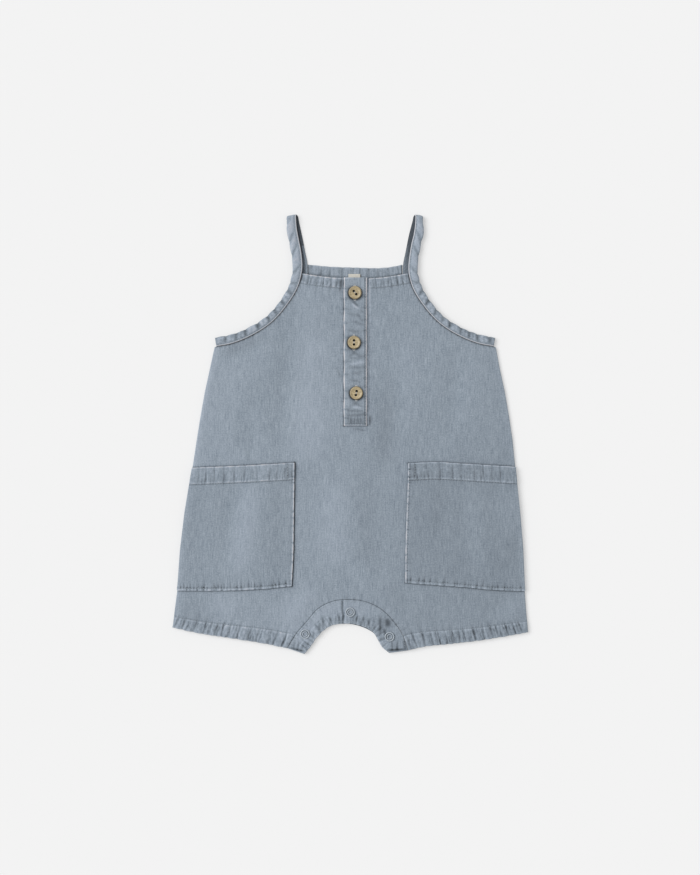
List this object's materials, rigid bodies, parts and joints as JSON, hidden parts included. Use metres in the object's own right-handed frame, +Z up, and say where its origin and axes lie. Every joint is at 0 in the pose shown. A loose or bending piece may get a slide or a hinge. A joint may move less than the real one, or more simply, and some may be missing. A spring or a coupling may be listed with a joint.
{
  "type": "baby romper",
  "caption": "Sleeveless button-front baby romper in washed cotton chambray, laid flat, with bound armholes running up into straps, patch pockets and a snap crotch.",
  "frame": {"origin": "middle of the footprint, on the surface that the garment lies on", "axes": "+Y from the legs towards the straps, +X to the right as seen from above, +Z up, away from the surface"},
  "size_m": [0.3378, 0.4168, 0.01],
  "materials": {
    "chambray": "garment-washed cotton chambray, light grey blue, slubbed and worn pale along folds and hems",
    "chambray_inside": "inside face of the same washed cotton chambray",
    "cotton_tape": "unbleached woven cotton tape, bare",
    "corozo": "turned corozo nut, fine grain, satin",
    "snap": "ring snap painted to match the cloth, satin"
  },
  "bodies": {
    "root": {"front_panel": "chambray", "back_panel": "chambray_inside", "pocket_left": "chambray", "pocket_right": "chambray", "placket_over": "chambray", "placket_under": "chambray", "binding_strap_left": "chambray", "binding_strap_right": "chambray", "crotch_band_front": "chambray", "crotch_band_back": "chambray_inside", "neck_label": "cotton_tape", "button_top": "corozo", "button_middle": "corozo", "button_bottom": "corozo", "snap_left": "snap", "snap_centre": "snap", "snap_right": "snap"}
  },
  "joints": []
}
